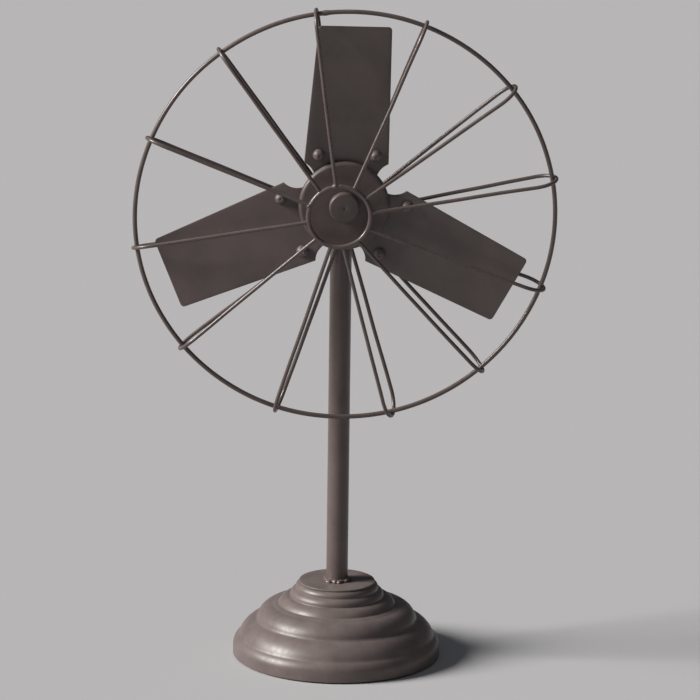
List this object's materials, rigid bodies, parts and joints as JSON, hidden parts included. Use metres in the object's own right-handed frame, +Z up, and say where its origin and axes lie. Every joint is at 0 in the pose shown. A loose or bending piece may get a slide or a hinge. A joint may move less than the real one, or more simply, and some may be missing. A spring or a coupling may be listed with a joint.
{
  "type": "hand crank table fan",
  "caption": "Table fan with a stepped round base, tube post, round wire cage, flat pitched blades and a hand crank behind the head.",
  "frame": {"origin": "middle of the underside of the rubber pad, on the table", "axes": "+Z up, the fan faces -Y along its rotor axis, +X to the viewer's right"},
  "size_m": [0.3331, 0.1626, 0.5353],
  "materials": {
    "base_paint": "satin brown-grey paint with worn beads",
    "plate_paint": "satin brown-grey paint",
    "post_paint": "satin brown-grey paint, drawn tube",
    "wire_paint": "satin brown-grey paint on round wire",
    "blade_paint": "satin brown-grey paint on flat sheet",
    "hub_paint": "satin brown-grey paint",
    "fastener_paint": "painted steel with rubbed heads",
    "crank_paint": "satin brown-grey paint",
    "handle_wood": "turned hardwood, dark stain",
    "axle_steel": "turned steel, lightly oiled",
    "screw_steel": "zinc plated steel",
    "bush_bronze": "sintered bronze",
    "weight_iron": "rough cast iron",
    "pad_rubber": "black rubber sheet"
  },
  "bodies": {
    "stand": {"barrel_weld": "post_paint", "base_bottom_plate": "plate_paint", "base_pad": "pad_rubber", "base_shell": "base_paint", "base_top_disc": "base_paint", "base_weight": "weight_iron", "base_weight_screws": "screw_steel", "bearing_barrel": "post_paint", "cage_front_ring": "wire_paint", "cage_outer_ring": "wire_paint", "cage_rear_ring": "wire_paint", "cage_spoke_01": "wire_paint", "cage_spoke_02": "wire_paint", "cage_spoke_03": "wire_paint", "cage_spoke_04": "wire_paint", "cage_spoke_05": "wire_paint", "cage_spoke_06": "wire_paint", "cage_spoke_07": "wire_paint", "cage_spoke_08": "wire_paint", "cage_spoke_09": "wire_paint", "cage_spoke_10": "wire_paint", "cage_spoke_11": "wire_paint", "cage_spoke_12": "wire_paint", "cage_welds": "wire_paint", "front_bush": "bush_bronze", "post_tube": "post_paint", "post_weld": "post_paint", "rear_bush": "bush_bronze"},
    "rotor": {"axle": "axle_steel", "spider": "hub_paint", "blade_bolts": "fastener_paint", "blade_nuts": "fastener_paint", "hub_spacer": "hub_paint", "hub_cap": "hub_paint", "hub_nub": "hub_paint", "shaft_collar": "hub_paint", "set_screw": "screw_steel", "front_thrust_washer": "axle_steel", "rear_thrust_washer": "axle_steel", "crank_spacer": "axle_steel", "crank_arm": "crank_paint", "crank_nut": "fastener_paint", "crank_pin": "crank_paint", "handle_washer": "axle_steel", "blade_1": "blade_paint", "blade_2": "blade_paint", "blade_3": "blade_paint"},
    "handle": {"crank_handle": "handle_wood"}
  },
  "joints": [
    {"name": "rotor_spin", "type": "hinge", "parent": "stand", "child": "rotor", "pos_m": [0, 0.001, 0.377], "axis": [0, 1, 0], "continuous": true},
    {"name": "crank_handle_spin", "type": "hinge", "parent": "rotor", "child": "handle", "pos_m": [0, 0.0435, 0.427], "axis": [0, 1, 0], "continuous": true}
  ]
}
